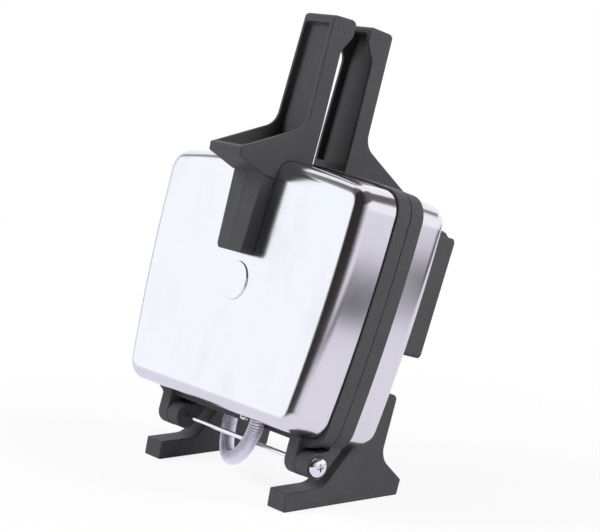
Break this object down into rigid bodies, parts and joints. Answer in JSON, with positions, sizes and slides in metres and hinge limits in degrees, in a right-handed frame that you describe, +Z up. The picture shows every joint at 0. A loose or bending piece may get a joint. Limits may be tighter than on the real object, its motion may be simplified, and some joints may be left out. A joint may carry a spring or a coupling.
{
  "type": "electric waffle maker",
  "caption": "Electric waffle maker standing shut on two feet: steel covers, dark frames and feet, paired grips over a hinged lid, back control box and a coiled steel conduit between halves.",
  "frame": {"origin": "middle of the bounding box's underside, on the surface the feet stand on", "axes": "+Z up; +X to the right when facing the lid, along the hinge; +Y from the lid to the back"},
  "size_m": [0.2458, 0.1608, 0.3311],
  "materials": {
    "steel_skin": "satin",
    "dark_moulding": "fine texture",
    "cast_plate": "dark coated cast",
    "heater_sheath": "satin",
    "shield_sheet": "mill",
    "zinc_screw": "bright",
    "rod_steel": "polished",
    "conduit_steel": "wound strip",
    "lead_sleeve": "woven glass sleeve",
    "bush_plastic": "plain",
    "ceramic_body": "glazed",
    "control_plastic": "plain"
  },
  "bodies": {
    "base": {"rear_frame": "dark_moulding", "rear_cover": "steel_skin", "rear_plate": "cast_plate", "rear_plate_screws": "zinc_screw", "rear_heater": "heater_sheath", "rear_heat_shield": "shield_sheet", "rear_leads": "lead_sleeve", "rear_handle": "dark_moulding", "rear_handle_screws": "zinc_screw", "rear_cover_screw": "zinc_screw", "rear_conduit_bush": "bush_plastic", "foot_right": "dark_moulding", "foot_left": "dark_moulding", "foot_screws": "zinc_screw", "foot_nuts": "zinc_screw", "control_box": "dark_moulding", "control_box_screws": "zinc_screw", "thermostat": "ceramic_body", "terminal_block": "ceramic_body", "cord_gland": "bush_plastic", "hinge_rod": "rod_steel", "hinge_rod_heads": "rod_steel", "conduit": "conduit_steel"},
    "lid": {"front_frame": "dark_moulding", "front_cover": "steel_skin", "front_plate": "cast_plate", "front_plate_screws": "zinc_screw", "front_heater": "heater_sheath", "front_heat_shield": "shield_sheet", "front_leads": "lead_sleeve", "front_handle": "dark_moulding", "front_handle_screws": "zinc_screw", "front_cover_screw": "zinc_screw", "front_conduit_bush": "bush_plastic"},
    "heat_wheel": {"heat_wheel": "control_plastic"}
  },
  "joints": [
    {"name": "lid_hinge", "type": "hinge", "parent": "base", "child": "lid", "pos_m": [0, -0.05393, 0.03247], "axis": [1, 0, 0], "range_deg": [0, 94], "deforming": ["conduit"]},
    {"name": "heat_wheel_turn", "type": "hinge", "parent": "base", "child": "heat_wheel", "pos_m": [0.0704, 0.0665, 0.17342], "axis": [0, -0.9615, 0.2746], "range_deg": [0, 270]}
  ]
}
